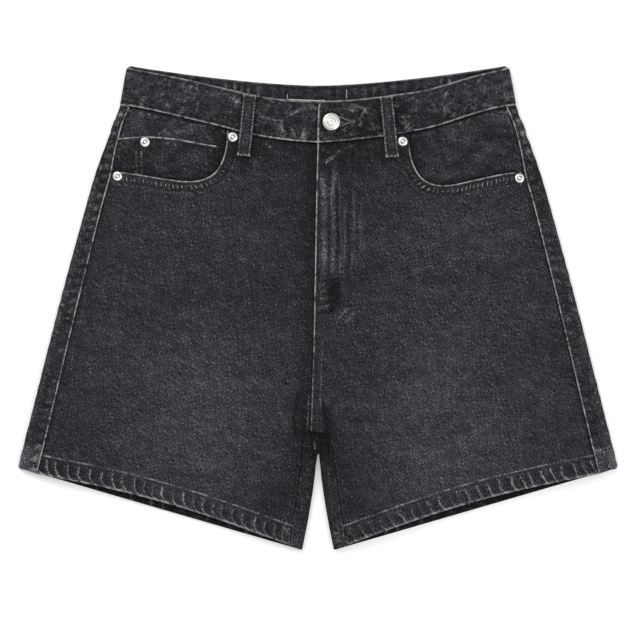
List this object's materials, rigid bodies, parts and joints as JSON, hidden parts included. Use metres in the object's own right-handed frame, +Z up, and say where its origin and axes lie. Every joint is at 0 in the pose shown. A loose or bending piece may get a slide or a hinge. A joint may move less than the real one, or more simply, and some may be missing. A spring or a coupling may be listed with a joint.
{
  "type": "denim shorts",
  "caption": "High-waisted denim shorts laid flat, with yokes, scooped pockets, a coin pocket, belt loops, a metal button and turned-up hems.",
  "frame": {"origin": "under the middle of the garment's bounding box, on the surface that it lies on", "axes": "+Z up, out of the front of the garment; +Y towards the waist; +X towards the wearer's left side"},
  "size_m": [0.5698, 0.4585, 0.0188],
  "materials": {
    "denim": "washed charcoal twill, worn pale along its seams and edges",
    "metal": "aged silver-coloured button and rivets",
    "label": "plain white woven tape"
  },
  "bodies": {
    "root": {"front_left": "denim", "back_left": "denim", "yoke_left": "denim", "pocket_facing_left": "denim", "belt_loop_front_left": "denim", "front_right": "denim", "back_right": "denim", "yoke_right": "denim", "pocket_facing_right": "denim", "belt_loop_front_right": "denim", "coin_pocket": "denim", "waistband": "denim", "belt_loop_back_middle": "denim", "belt_loop_back_left": "denim", "belt_loop_back_right": "denim", "label": "label", "rivet_right_loop": "metal", "rivet_right_side": "metal", "rivet_coin_pocket": "metal", "rivet_left_loop": "metal", "rivet_left_side": "metal", "button": "metal"}
  },
  "joints": []
}
